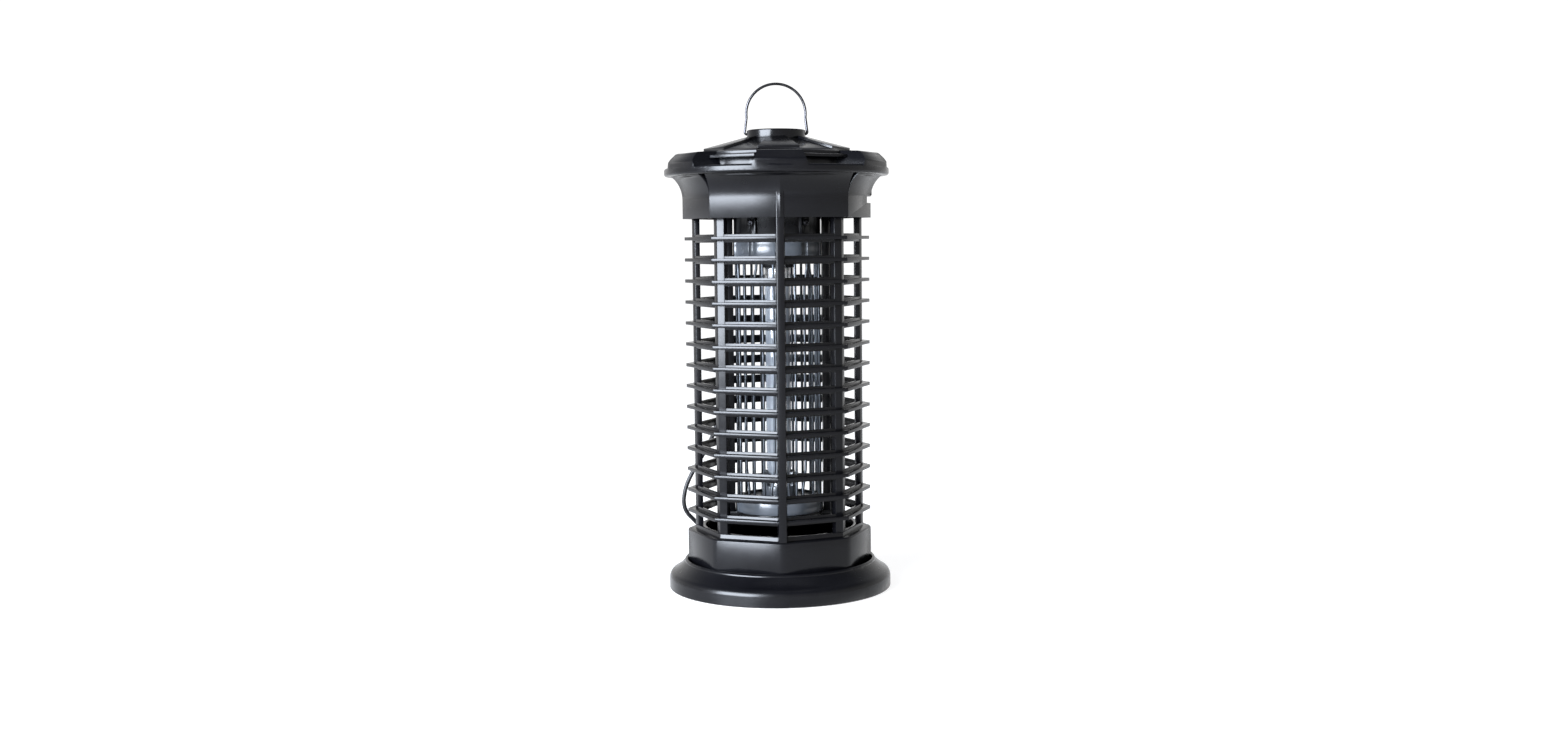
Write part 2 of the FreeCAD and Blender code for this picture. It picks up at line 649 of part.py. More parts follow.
def make_strain_relief():
    """Flanged, tapered sleeve with grooves that lets the cord flex at the outlet."""
    start = OUTLET - OUTLET_DIR * 2.4
    tip = OUTLET + OUTLET_DIR * RELIEF_L
    flange = Part.makeCylinder(5.6, 1.6, OUTLET, OUTLET_DIR)
    neck = Part.makeCylinder(OUTLET_R - 0.05, 2.4, start, OUTLET_DIR)
    inner_flange = Part.makeCylinder(5.6, 1.4, start - OUTLET_DIR * 1.4, OUTLET_DIR)
    taper = Part.makeCone(3.9, 2.3, RELIEF_L - 1.6, OUTLET + OUTLET_DIR * 1.6, OUTLET_DIR)
    sleeve = fuse([flange, neck, inner_flange, taper])
    for i in range(4):
        at = OUTLET + OUTLET_DIR * (4.6 + 3.6 * i)
        ring = Part.makeCylinder(6.0, 1.2, at, OUTLET_DIR).cut(
            Part.makeCylinder(2.5 - 0.15 * i, 1.2, at, OUTLET_DIR))
        sleeve = sleeve.cut(ring)
    print("strain relief ends at", tuple(round(c, 2) for c in tip))
    return sleeve


def make_cord_coil():
    coil = tube(COIL_MID_R + COIL_HALF, COIL_MID_R - COIL_HALF, TIE_T, COIL_TOP)
    coil.translate(V(COIL_C[0], COIL_C[1], 0))
    return coil


def make_cord_tie():
    near = COIL_MID_R - COIL_HALF - 0.8
    far = COIL_MID_R + COIL_HALF + 0.4
    inner = box_at(near, far, -TIE_W / 2, TIE_W / 2, TIE_T, COIL_TOP)
    outer = box_at(near - TIE_T, far + TIE_T, -TIE_W / 2, TIE_W / 2, 0.0, COIL_TOP + TIE_T)
    tie = turned(outer.cut(inner), TIE_ANGLE)
    tie.translate(V(COIL_C[0], COIL_C[1], 0))
    return tie


PLUG_L = 26.0
PLUG_W = 22.0
PLUG_H = 15.0
BLADE_W = 6.3
BLADE_TH = 1.5
BLADE_L = 16.0
BLADE_PITCH = 12.7


def on_plug(shape):
    """Moves a shape built along +X from the origin to where the plug lies."""
    shape.rotate(V(0, 0, 0), V(0, 0, 1), math.degrees(math.atan2(PLUG_DIR.y, PLUG_DIR.x)))
    shape.translate(V(*TAIL_POINTS[-1]))
    return shape


def make_plug():
    """Tapered two-blade plug lying on its side, its cord end at the origin."""
    z0 = -TAIL_POINTS[-1][2]
    sleeve = Part.makeCone(2.6, 5.0, 12.0, V(0, 0, 0), V(1, 0, 0))
    points = [V(8.0, -5.5, z0), V(14.0, -PLUG_W / 2, z0), V(8.0 + PLUG_L, -PLUG_W / 2, z0),
              V(8.0 + PLUG_L, PLUG_W / 2, z0), V(14.0, PLUG_W / 2, z0), V(8.0, 5.5, z0)]
    body = Part.Face(Part.makePolygon(points + points[:1])).extrude(V(0, 0, PLUG_H))
    body = body.makeFillet(2.0, [e for e in body.Edges if e.BoundBox.ZLength < 1e-6
                                 and e.BoundBox.XMin > 7.0])
    return on_plug(fuse([sleeve, body]))


def make_plug_blades():
    z = PLUG_H / 2 - TAIL_POINTS[-1][2]
    x0 = 8.0 + PLUG_L
    blades = []
    for y in (-BLADE_PITCH / 2, BLADE_PITCH / 2):
        blades.append(box_at(x0, x0 + BLADE_L, y - BLADE_TH / 2, y + BLADE_TH / 2,
                             z - BLADE_W / 2, z + BLADE_W / 2))
    return on_plug(group(blades))


# ---------------------------------------------------------------- assembly
def make_roof_screws():
    """Three screws up through the brim into the roof, heads below the brim."""
    return [pan_screw(p.x, p.y, RIM_Z0, 3.0, ROOF_SCREW_R, ROOF_SCREW_L, up=False)
            for p in ROOF_SCREW_PLACES]


def make_parts():
    posts = make_cage_posts()
    ribs = make_cage_ribs()
    collar = make_upper_collar(ribs)
    rim = make_rim_ring()
    roof_screws = make_roof_screws()
    cap_screw = pan_screw(0.0, 0.0, ROOF_FLOOR, 3.2, CAP_SCREW_R, 7.0, up=False)
    can_screws = make_can_screws()
    hot = make_rods(0)
    cold = make_rods(1)
    pins = make_lamp_pins()
    roof = make_roof_cover(rim)
    for screw in roof_screws:
        rim = rim.cut(screw)
    parts = {
        "foot": make_foot(),
        "rubber_feet": make_rubber_feet(),
        "catch_tray": make_catch_tray(),
        "lower_collar": make_lower_collar(),
        "cage_posts": group(posts),
        "cage_rib_front": ribs[1],
        "cage_rib_rear": ribs[0],
        "upper_collar": collar,
        "lid_latch": make_lid_latch(),
        "rim_ring": rim,
        "roof_cover": roof,
        "roof_screws": group(roof_screws),
        "hanger_cap": make_hanger_cap(),
        "cap_screw": cap_screw,
        "bail_handle": make_bail_handle(),
        "driver_can": make_driver_can(can_screws),
        "can_screws": group(can_screws),
        "can_lid": make_can_lid(),
        "circuit_board": make_circuit_board(),
        "transformer": make_transformer(),
        "capacitors": make_capacitors(),
        "grid_column_left": make_grid_column(-1),
        "grid_column_right": make_grid_column(1),
        "grid_base": make_grid_base(),
        "top_insulator": make_insulator(TOP_DISC_Z0, TOP_DISC_Z1, 6.0, 10),
        "bottom_insulator": make_insulator(LOW_DISC_Z0, LOW_DISC_Z1, 6.0, 0),
        "hot_grid_rods": group(hot),
        "return_grid_rods": group(cold),
        "hot_conductor_ring": make_conductor_ring(TOP_DISC_Z0 - 1.2, 0, hot),
        "return_conductor_ring": make_conductor_ring(LOW_DISC_Z1, 1, cold),
        "lamp_tube": make_lamp_tube(),
        "lamp_end_caps": make_lamp_caps(),
        "lamp_pins": group(pins),
        "lamp_socket_top": make_lamp_socket_top(pins),
        "lamp_socket_bottom": make_lamp_socket_bottom(pins),
        "strain_relief": make_strain_relief(),
        "cord_lead": make_cord_tube("cord_lead", LEAD_POINTS),
        "cord_coil": make_cord_coil(),
        "cord_tie": make_cord_tie(),
        "cord_tail": make_cord_tube("cord_tail", TAIL_POINTS),
        "plug_body": make_plug(),
        "plug_blades": make_plug_blades(),
    }
    for i in range(RING_COUNT):
        name = f"louvre_ring_{i + 1:02d}"
        parts[name] = make_louvre_ring(RING_TOP_Z - RING_PITCH * i, posts, ribs)
    return parts


def main():
    os.makedirs("parts", exist_ok=True)
    for name, shape in make_parts().items():
        if not shape.isValid():
            print("invalid shape:", name)
        shape.exportStep(f"parts/{name}.step")
        print(f"{name}: {len(shape.Solids)} solid(s), {shape.Volume / 1000:.2f} cm3")


main()
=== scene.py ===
"""Looks for the electric bug zapper lantern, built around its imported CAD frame. Metres, +Z up."""

import json
import math

import bmesh
import bpy
from mathutils import Matrix, Vector


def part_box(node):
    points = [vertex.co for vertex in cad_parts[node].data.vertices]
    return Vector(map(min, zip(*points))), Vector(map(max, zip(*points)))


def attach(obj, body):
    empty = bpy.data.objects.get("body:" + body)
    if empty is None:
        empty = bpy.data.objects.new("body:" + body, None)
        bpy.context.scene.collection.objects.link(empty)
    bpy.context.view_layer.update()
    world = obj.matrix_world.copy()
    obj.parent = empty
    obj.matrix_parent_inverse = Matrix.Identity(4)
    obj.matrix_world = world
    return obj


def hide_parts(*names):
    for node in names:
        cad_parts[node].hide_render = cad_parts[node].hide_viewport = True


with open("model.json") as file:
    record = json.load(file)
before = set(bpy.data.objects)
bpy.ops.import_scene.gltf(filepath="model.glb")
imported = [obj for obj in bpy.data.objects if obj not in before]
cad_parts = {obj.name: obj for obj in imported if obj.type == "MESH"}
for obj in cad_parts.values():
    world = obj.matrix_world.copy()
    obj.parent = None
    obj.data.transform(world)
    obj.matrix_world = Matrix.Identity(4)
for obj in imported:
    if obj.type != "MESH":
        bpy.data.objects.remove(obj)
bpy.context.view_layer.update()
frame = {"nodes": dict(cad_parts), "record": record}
scene = bpy.context.scene
MM = 0.001


# ---------------------------------------------------------------- camera
CAMERA_DISTANCE = 1.158
CAMERA_HEIGHT = 0.251
CAMERA_AZIMUTH = math.radians(-1.9)
CAMERA_PITCH = math.radians(4.82)
CAMERA_YAW = math.radians(0.204)
CAMERA_ROLL = math.radians(-0.517)
CAMERA_LENS = 36.77


def make_camera():
    data = bpy.data.cameras.new("camera")
    data.lens = CAMERA_LENS
    data.sensor_width = 36.0
    data.clip_start = 0.05
    data.clip_end = 60.0
    cam = bpy.data.objects.new("camera", data)
    scene.collection.objects.link(cam)
    place = Matrix.Translation((CAMERA_DISTANCE * math.sin(CAMERA_AZIMUTH),
                                -CAMERA_DISTANCE * math.cos(CAMERA_AZIMUTH), CAMERA_HEIGHT))
    turn = Matrix.Rotation(CAMERA_AZIMUTH - CAMERA_YAW, 4, "Z")
    tilt = Matrix.Rotation(math.pi / 2 - CAMERA_PITCH, 4, "X")
    roll = Matrix.Rotation(CAMERA_ROLL, 4, "Z")
    cam.matrix_world = place @ turn @ tilt @ roll
    scene.camera = cam


make_camera()


# ---------------------------------------------------------------- materials
def new_material(name):
    m = bpy.data.materials.new(name)
    m.use_nodes = True
    nodes = m.node_tree.nodes
    nodes.clear()
    out = nodes.new("ShaderNodeOutputMaterial")
    bsdf = nodes.new("ShaderNodeBsdfPrincipled")
    m.node_tree.links.new(bsdf.outputs[0], out.inputs[0])
    return m, m.node_tree, bsdf


def object_coords(tree):
    return tree.nodes.new("ShaderNodeTexCoord").outputs["Object"]


def noise(tree, coords, scale, detail=2.0, rough=0.5):
    n = tree.nodes.new("ShaderNodeTexNoise")
    n.inputs["Scale"].default_value = scale
    n.inputs["Detail"].default_value = detail
    n.inputs["Roughness"].default_value = rough
    tree.links.new(coords, n.inputs["Vector"])
    return n.outputs["Fac"]


def remap(tree, value, low, high):
    """Spreads the middle of a noise value over a range."""
    n = tree.nodes.new("ShaderNodeMapRange")
    n.inputs["From Min"].default_value = 0.25
    n.inputs["From Max"].default_value = 0.75
    n.inputs["To Min"].default_value = low
    n.inputs["To Max"].default_value = high
    tree.links.new(value, n.inputs["Value"])
    return n.outputs["Result"]


def tint(tree, value, dark, light):
    """Colour between two tones, following a noise value."""
    n = tree.nodes.new("ShaderNodeValToRGB")
    n.color_ramp.elements[0].position = 0.3
    n.color_ramp.elements[0].color = (*dark, 1)
    n.color_ramp.elements[1].position = 0.7
    n.color_ramp.elements[1].color = (*light, 1)
    tree.links.new(value, n.inputs["Fac"])
    return n.outputs["Color"]


def bump(tree, bsdf, height, distance):
    n = tree.nodes.new("ShaderNodeBump")
    n.inputs["Distance"].default_value = distance
    n.inputs["Strength"].default_value = 1.0
    tree.links.new(height, n.inputs["Height"])
    tree.links.new(n.outputs["Normal"], bsdf.inputs["Normal"])


GRAIN_DEPTH = 0.000005
GRAIN_SCALE = 4200.0
SCRATCH_DEPTH = 0.000006
SCRATCH_STRETCH = (300.0, 300.0, 8.0)


def moulded_plastic(name, dark, light, rough, shine):
    """Moulded plastic: slight tone drift, uneven sheen and a fine spark-eroded grain."""
    m, tree, bsdf = new_material(name)
    at = object_coords(tree)
    tree.links.new(tint(tree, noise(tree, at, 34.0, 4.0), dark, light), bsdf.inputs["Base Color"])
    tree.links.new(remap(tree, noise(tree, at, 90.0, 5.0, 0.6), rough - 0.035, rough + 0.045),
                   bsdf.inputs["Roughness"])
    bsdf.inputs["Specular IOR Level"].default_value = shine
    bump(tree, bsdf, noise(tree, at, GRAIN_SCALE), GRAIN_DEPTH)
    return m


def metal(name, dark, light, rough):
    """Drawn or plated metal with fine marks along Z."""
    m, tree, bsdf = new_material(name)
    at = object_coords(tree)
    stretch = tree.nodes.new("ShaderNodeMapping")
    stretch.inputs["Scale"].default_value = SCRATCH_STRETCH
    tree.links.new(at, stretch.inputs["Vector"])
    marks = noise(tree, stretch.outputs["Vector"], 6.0, 6.0, 0.6)
    tree.links.new(tint(tree, marks, dark, light), bsdf.inputs["Base Color"])
    tree.links.new(remap(tree, marks, rough - 0.06, rough + 0.1), bsdf.inputs["Roughness"])
    bsdf.inputs["Metallic"].default_value = 1.0
    bump(tree, bsdf, marks, SCRATCH_DEPTH)
    return m


def coated_glass(name):
    """Lamp glass with a thin phosphor coat: milky, faintly blue, a little see-through."""
    m, tree, bsdf = new_material(name)
    at = object_coords(tree)
    tree.links.new(tint(tree, noise(tree, at, 40.0, 4.0), (0.2, 0.22, 0.25), (0.26, 0.285, 0.315)),
                   bsdf.inputs["Base Color"])
    tree.links.new(remap(tree, noise(tree, at, 160.0, 3.0), 0.1, 0.2), bsdf.inputs["Roughness"])
    bsdf.inputs["Transmission Weight"].default_value = 0.3
    bsdf.inputs["IOR"].default_value = 1.48
    bsdf.inputs["Coat Weight"].default_value = 0.8
    bsdf.inputs["Coat Roughness"].default_value = 0.03
    return m


# darkest tone, lightest tone, roughness, specular level
PLASTICS = {
    "black_plastic": ((0.0009, 0.0009, 0.0013), (0.0018, 0.0018, 0.0023), 0.24, 0.16),
    "gloss_black": ((0.0008, 0.0008, 0.0011), (0.0014, 0.0014, 0.0017), 0.18, 0.16),
    "inner_black": ((0.0009, 0.0009, 0.0012), (0.0018, 0.0018, 0.0022), 0.28, 0.16),
    "pale_insulator": ((0.032, 0.036, 0.041), (0.055, 0.061, 0.07), 0.24, 0.35),
    "board_green": ((0.02, 0.12, 0.045), (0.035, 0.2, 0.08), 0.3, 0.5),
    "capacitor_blue": ((0.02, 0.05, 0.16), (0.03, 0.08, 0.24), 0.25, 0.5),
    "black_rubber": ((0.004, 0.004, 0.0045), (0.007, 0.007, 0.0078), 0.48, 0.22),
    "tie_black": ((0.004, 0.004, 0.004), (0.006, 0.006, 0.006), 0.5, 0.22),
}

# darkest tone, lightest tone, roughness
METALS = {
    "steel_wire": ((0.02, 0.02, 0.022), (0.045, 0.045, 0.048), 0.26),
    "screw_steel": ((0.3, 0.3, 0.31), (0.5, 0.5, 0.52), 0.28),
    "screw_dark": ((0.02, 0.02, 0.022), (0.05, 0.05, 0.055), 0.3),
    "grid_steel": ((0.03, 0.033, 0.038), (0.07, 0.077, 0.086), 0.34),
    "lamp_metal": ((0.6, 0.61, 0.62), (0.8, 0.81, 0.82), 0.24),
    "pin_brass": ((0.6, 0.46, 0.22), (0.82, 0.68, 0.4), 0.24),
    "core_steel": ((0.16, 0.13, 0.1), (0.3, 0.25, 0.2), 0.5),
}

MATERIALS = {"lamp_glass": coated_glass("lamp_glass")}
for material_name, look in PLASTICS.items():
    MATERIALS[material_name] = moulded_plastic(material_name, *look)
for material_name, look in METALS.items():
    MATERIALS[material_name] = metal(material_name, *look)


# ---------------------------------------------------------------- helpers for pieces
SHARP_EDGE = math.radians(32)
FLAT_ENOUGH = math.radians(0.6)
WELD_DISTANCE = 0.004 * MM


def smooth_by_angle_group():
    """Geometry nodes that shade smooth everything but the sharp edges."""
    group = bpy.data.node_groups.new("smooth_by_angle", "GeometryNodeTree")
    group.interface.new_socket("Geometry", in_out="INPUT", socket_type="NodeSocketGeometry")
    group.interface.new_socket("Geometry", in_out="OUTPUT", socket_type="NodeSocketGeometry")
    nodes, links = group.nodes, group.links
    start = nodes.new("NodeGroupInput")
    end = nodes.new("NodeGroupOutput")
    faces = nodes.new("GeometryNodeSetShadeSmooth")
    faces.domain = "FACE"
    edges = nodes.new("GeometryNodeSetShadeSmooth")
    edges.domain = "EDGE"
    angle = nodes.new("GeometryNodeInputMeshEdgeAngle")
    compare = nodes.new("FunctionNodeCompare")
    compare.data_type = "FLOAT"
    compare.operation = "LESS_THAN"
    compare.inputs["B"].default_value = SHARP_EDGE
    links.new(start.outputs[0], faces.inputs["Geometry"])
    links.new(faces.outputs[0], edges.inputs["Geometry"])
    links.new(angle.outputs["Unsigned Angle"], compare.inputs["A"])
    links.new(compare.outputs["Result"], edges.inputs["Shade Smooth"])
    links.new(edges.outputs[0], end.inputs[0])
    return group


SMOOTH = smooth_by_angle_group()


def smooth(obj):
    obj.modifiers.new("smooth", "NODES").node_group = SMOOTH


def set_material(obj, slot):
    obj.data.materials.clear()
    obj.data.materials.append(MATERIALS[slot])


def round_edges(obj, width):
    b = obj.modifiers.new("bevel", "BEVEL")
    b.width = width
    b.segments = 2
    b.limit_method = "ANGLE"
    b.angle_limit = SHARP_EDGE
    b.miter_outer = "MITER_ARC"
    b.use_clamp_overlap = True
    b.harden_normals = False


def finish_node(name, slot, bevel):
    """A CAD node keeps its mesh; modifiers join it up, round its edges and shade it."""
    obj = frame["nodes"][name]
    set_material(obj, slot)
    weld = obj.modifiers.new("weld", "WELD")
    weld.merge_threshold = WELD_DISTANCE
    flat = obj.modifiers.new("flat", "DECIMATE")
    flat.decimate_type = "DISSOLVE"
    flat.angle_limit = FLAT_ENOUGH
    if bevel:
        round_edges(obj, bevel)
    smooth(obj)


def add_mesh(name, bm, slot):
    """A piece of the housing from a bmesh, named, shaded and given its material."""
    bmesh.ops.recalc_face_normals(bm, faces=bm.faces)
    mesh = bpy.data.meshes.new(name)
    bm.to_mesh(mesh)
    bm.free()
    obj = bpy.data.objects.new(name, mesh)
    scene.collection.objects.link(obj)
    set_material(obj, slot)
    smooth(obj)
    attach(obj, "housing")
    return obj


def join_rings(bm, rings):
    """Skins a row of equal rings of points and closes both ends."""
    for a, b in zip(rings, rings[1:]):
        for k in range(len(a)):
            n = (k + 1) % len(a)
            bm.faces.new([a[k], a[n], b[n], b[k]])
    bm.faces.new(rings[0])
    bm.faces.new(rings[-1])


def lathe(bm, outline, centre, around, axis=Vector((0, 0, 1))):
    """Turns (radius, height) pairs about an axis through centre; an end off the axis is capped."""
    axis = axis.normalized()
    side = axis.orthogonal().normalized()
    other = axis.cross(side)
    rings = []
    for r, h in outline:
        middle = centre + axis * h
        if r < 1e-7:
            rings.append([bm.verts.new(middle)])
            continue
        rings.append([bm.verts.new(middle + (side * math.cos(t) + other * math.sin(t)) * r)
                      for t in (2 * math.pi * k / around for k in range(around))])
    for a, b in zip(rings, rings[1:]):
        for k in range(around):
            n = (k + 1) % around
            loop = [a[k % len(a)], a[n % len(a)], b[n % len(b)], b[k % len(b)]]
            loop = [v for i, v in enumerate(loop) if v not in loop[:i]]
            if len(loop) > 2:
                bm.faces.new(loop)
    for ring in (rings[0], rings[-1]):
        if len(ring) > 1:
            bm.faces.new(ring)


def tube_along(bm, points, radius, around=12):
    """Round bar through points, capped at both ends."""
    points = [Vector(p) for p in points]
    side = None
    rings = []
    for i, p in enumerate(points):
        before = points[max(i - 1, 0)]
        after = points[min(i + 1, len(points) - 1)]
        along = (after - before).normalized()
        side = along.orthogonal() if side is None else side - along * side.dot(along)
        side = side.normalized()
        other = along.cross(side)
        rings.append([bm.verts.new(p + (side * math.cos(t) + other * math.sin(t)) * radius)
                      for t in (2 * math.pi * k / around for k in range(around))])
    join_rings(bm, rings)


def polar(radius, angle, z):
    return Vector((radius * math.cos(angle), radius * math.sin(angle), z))


# ---------------------------------------------------------------- cord and plug
CORD_R = 1.6 * MM
LEAD = [(-32.35, 78.11, 273.5), (-36.2, 87.4, 273.4), (-39.9, 96.3, 267.4), (-42.3, 102.0, 255.9),
        (-43.0, 101.4, 238.0), (-42.0, 96.4, 213.0), (-40.6, 89.6, 185.0), (-41.4, 82.6, 157.0),
        (-41.2, 76.8, 131.0), (-45.2, 70.4, 110.0), (-53.0, 64.8, 93.0), (-63.0, 62.6, 78.0),
        (-70.6, 62.0, 62.6), (-72.0, 63.0, 46.2), (-61.4, 67.4, 34.6), (-53.4, 76.0, 24.0),
        (-49.0, 87.6, 13.6), (-47.6, 100.2, 5.4), (-46.6, 112.4, 1.7), (-44.5, 122.4, 2.0)]
TAIL = [(-22.0, 147.6, 12.1), (-11.4, 148.6, 11.9), (-1.0, 147.2, 10.6), (8.4, 143.8, 9.4),
        (17.6, 139.8, 9.0)]
PLUG_DIR = Vector((9.2, -4.1, 0.0)).normalized()
COIL_C = (-24.0, 128.0)
COIL_MID_R = 17.6
PITCH = 3.3
LAYERS = 4
FIRST_Z = 2.25
LAYER_SWEEP = 720.0        # degrees wound in a full layer
LAST_SWEEP = 522.0         # degrees wound in the top layer, which ends at the tail
CLIMB = 92.0               # degrees spent climbing from one layer to the next
START_ANGLE = 186.0        # where the lead joins the coil
STEP = 24.0


def coil_points():
    """Layers wound in and out by turns, each spread over two turns, clockwise from above."""
    points = []
    outer = COIL_MID_R + PITCH
    inner = COIL_MID_R - PITCH
    legs = []
    for layer in range(LAYERS):
        last = layer == LAYERS - 1
        r0, r1 = (outer, inner) if layer % 2 == 0 else (inner, outer)
        sweep = LAST_SWEEP if last else LAYER_SWEEP
        r_end = r0 + (r1 - r0) * sweep / LAYER_SWEEP
        z = FIRST_Z + layer * PITCH
        legs.append((sweep, r0, r_end, z, z))
        if not last:
            legs.append((CLIMB, r1, r1, z, z + PITCH))
    marks = [0.0]
    for leg in legs:
        marks.append(marks[-1] + leg[0])
    total = marks[-1]
    count = round(total / STEP)
    for k in range(count + 1):
        turned = total * k / count
        i = max(j for j in range(len(legs)) if marks[j] <= turned + 1e-9)
        sweep, r0, r1, z0, z1 = legs[i]
        t = min(1.0, (turned - marks[i]) / sweep)
        r = r0 + (r1 - r0) * t
        z = z0 + (z1 - z0) * t
        a = math.radians(START_ANGLE - turned)
        points.append((COIL_C[0] + r * math.cos(a), COIL_C[1] + r * math.sin(a), z))
    return points


def nurbs_length(spline_points):
    """Length of the quadratic B-spline through its control points, ends included."""
    p = [Vector(q) for q in spline_points]
    n = len(p)
    length = 0.0
    here = p[0]
    for i in range(n - 2):
        a = p[0] if i == 0 else (p[i] + p[i + 1]) / 2
        c = p[n - 1] if i == n - 3 else (p[i + 1] + p[i + 2]) / 2
        for k in range(1, 41):
            t = k / 40
            q = a * (1 - t) ** 2 + p[i + 1] * 2 * t * (1 - t) + c * t ** 2
            length += (q - here).length
            here = q
    return length


def make_cord():
    points = [Vector(p) * MM for p in LEAD + coil_points() + TAIL]
    data = bpy.data.curves.new("mains_cord", "CURVE")
    data.dimensions = "3D"
    data.bevel_depth = CORD_R
    data.bevel_resolution = 5
    data.use_fill_caps = True
    data.resolution_u = 8
    spline = data.splines.new("NURBS")
    spline.points.add(len(points) - 1)
    for target, p in zip(spline.points, points):
        target.co = (*p, 1.0)
    spline.order_u = 3
    spline.use_endpoint_u = True
    spline.use_smooth = True
    obj = bpy.data.objects.new("mains_cord", data)
    scene.collection.objects.link(obj)
    set_material(obj, "black_rubber")
    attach(obj, "housing")
    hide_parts("cord_lead", "cord_coil", "cord_tail")
    return obj, nurbs_length(points)


def make_tie():
    """Thin strap looped round one side of the coil, its section a rounded rectangle."""
    bm = bmesh.new()
    low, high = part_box("cord_tie")
    centre = Vector((COIL_C[0] * MM, COIL_C[1] * MM, 0.0))
    out = Vector(((low.x + high.x) / 2, (low.y + high.y) / 2, 0.0)) - centre
    out.normalize()
    across = Vector((0, 0, 1)).cross(out)
    near = (COIL_MID_R - 1.5 * PITCH - 0.5) * MM
    far = (COIL_MID_R + 1.5 * PITCH + 0.4) * MM
    top = high.z - 0.25 * MM
    bottom = 0.3 * MM
    r = 1.2 * MM
    outline = []
    for cx, cz, a0 in ((far - r, top - r, 0), (near + r, top - r, 90), (near + r, bottom + r, 180),
                       (far - r, bottom + r, 270)):
        for k in range(5):
            a = math.radians(a0 + 22.5 * k)
            outline.append((cx + r * math.cos(a), cz + r * math.sin(a)))
    half = 2.4 * MM
    thick = 0.45 * MM
    mid = ((near + far) / 2, (top + bottom) / 2)
    rows = []
    for x, z in outline:
        d = Vector((x - mid[0], z - mid[1])).normalized() * thick
        row = []
        for y, grow in ((-half, 0.0), (half, 0.0), (half, -1.0), (-half, -1.0)):
            px, pz = x + d.x * grow, z + d.y * grow
            row.append(bm.verts.new(centre + out * px + across * y + Vector((0, 0, pz))))
        rows.append(row)
    for a, b in zip(rows, rows[1:] + rows[:1]):
        for k in range(4):
            bm.faces.new([a[k], a[(k + 1) % 4], b[(k + 1) % 4], b[k]])
    obj = add_mesh("cord_strap", bm, "tie_black")
    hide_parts("cord_tie")
    return obj


PLUG_L = 26.0
PLUG_H = 15.0
SLEEVE_L = 8.0             # ribbed sleeve between the end of the cord and the grip
SLEEVE_PITCH = 1.9
SLEEVE_RIBS = 4
GRIP_START = 14.0
GRIP_PITCH = 3.0
GRIP_RIBS = 4


def plug_section(half_w, z0, z1, x, r):
    """Rounded rectangle across the plug at x along it."""
    points = []
    for cy, cz, a0 in ((half_w - r, z1 - r, 0), (-half_w + r, z1 - r, 90), (-half_w + r, z0 + r, 180),
                       (half_w - r, z0 + r, 270)):
        for k in range(6):
            a = math.radians(a0 + 18.0 * k)
            points.append((x, cy + r * math.cos(a), cz + r * math.sin(a)))
    return points


def make_plug():
    """Moulded two-blade plug: waisted grip with ribs, and a ribbed sleeve on the cord."""
    base_z = -TAIL[-1][2]
    mid_z = base_z + PLUG_H / 2
    turn = Matrix.Rotation(math.atan2(PLUG_DIR.y, PLUG_DIR.x), 4, "Z")
    place = Matrix.Translation(Vector(TAIL[-1]) * MM) @ turn @ Matrix.Scale(MM, 4)
    bm = bmesh.new()
    face_x = SLEEVE_L + PLUG_L
    stations = [(7.9, 5.2, 3.6, 2.2), (9.0, 6.6, 4.4, 2.4), (11.0, 8.4, 5.4, 2.6), (13.0, 9.9, 6.6, 2.8)]
    for k in range(GRIP_RIBS):
        x = GRIP_START + k * GRIP_PITCH
        stations += [(x, 10.4, 7.1, 2.8), (x + 0.9, 9.7, 6.7, 2.8), (x + 1.6, 9.7, 6.7, 2.8),
                     (x + 2.2, 10.4, 7.1, 2.8)]
    stations += [(26.8, 10.6, 7.3, 2.6), (29.0, 11.0, 7.5, 2.4), (face_x - 1.2, 11.0, 7.5, 2.4),
                 (face_x - 0.3, 10.6, 7.1, 2.2), (face_x, 9.9, 6.5, 2.0)]
    rings = []
    for x, half_w, half_h, r in stations:
        points = plug_section(half_w, mid_z - half_h, mid_z + half_h, x, r)
        rings.append([bm.verts.new(place @ Vector(p)) for p in points])
    join_rings(bm, rings)
    sleeve = [(2.1, -0.2)]
    for k in range(SLEEVE_RIBS):
        x = SLEEVE_PITCH * k
        r = 2.5 + 0.2 * x
        sleeve += [(r, x), (r, x + 1.0), (r - 0.5, x + 1.2), (r - 0.5, x + 1.7)]
    sleeve.append((4.1, 8.4))
    origin = Vector(TAIL[-1]) * MM
    lathe(bm, [(r * MM, h * MM) for r, h in sleeve], origin, around=32, axis=PLUG_DIR)
    obj = add_mesh("mains_plug", bm, "black_rubber")
    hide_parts("plug_body")
    return obj


cord, cord_length = make_cord()
tie = make_tie()
plug = make_plug()


# ---------------------------------------------------------------- killing grid and lamp
ROD_R = 1.0 * MM
ROD_CIRCLE = 30.0 * MM
ROD_COUNT = 24
# sideways lean of a rod's lower and upper end, in degrees round the circle, for the bent ones
ROD_LEANS = {2: (0.0, 5.0), 5: (-4.0, 0.0), 13: (0.0, -3.0), 14: (5.0, 0.0), 15: (0.0, 6.0), 17: (-5.0, 0.0),
             18: (4.5, -4.0), 20: (-5.0, 5.0), 21: (0.0, -5.5), 22: (4.0, 0.0), 23: (0.0, 4.0)}


def rod_path(middle, lean_low, lean_high, low, high):
    """Points up one rod: each end stands off its place in the circle by its own lean."""
    stations = ((low, lean_low), (low + 6 * MM, lean_low), (low + 9 * MM, 0.93 * lean_low),
                (low + 22 * MM, 0.07 * lean_low), (low + 26 * MM, 0.0),
                (high - 24 * MM, 0.0), (high - 20 * MM, 0.07 * lean_high),
                (high - 8 * MM, 0.93 * lean_high), (high - 5 * MM, lean_high), (high, lean_high))
    return [polar(ROD_CIRCLE, math.radians(middle + lean), z) for z, lean in stations]


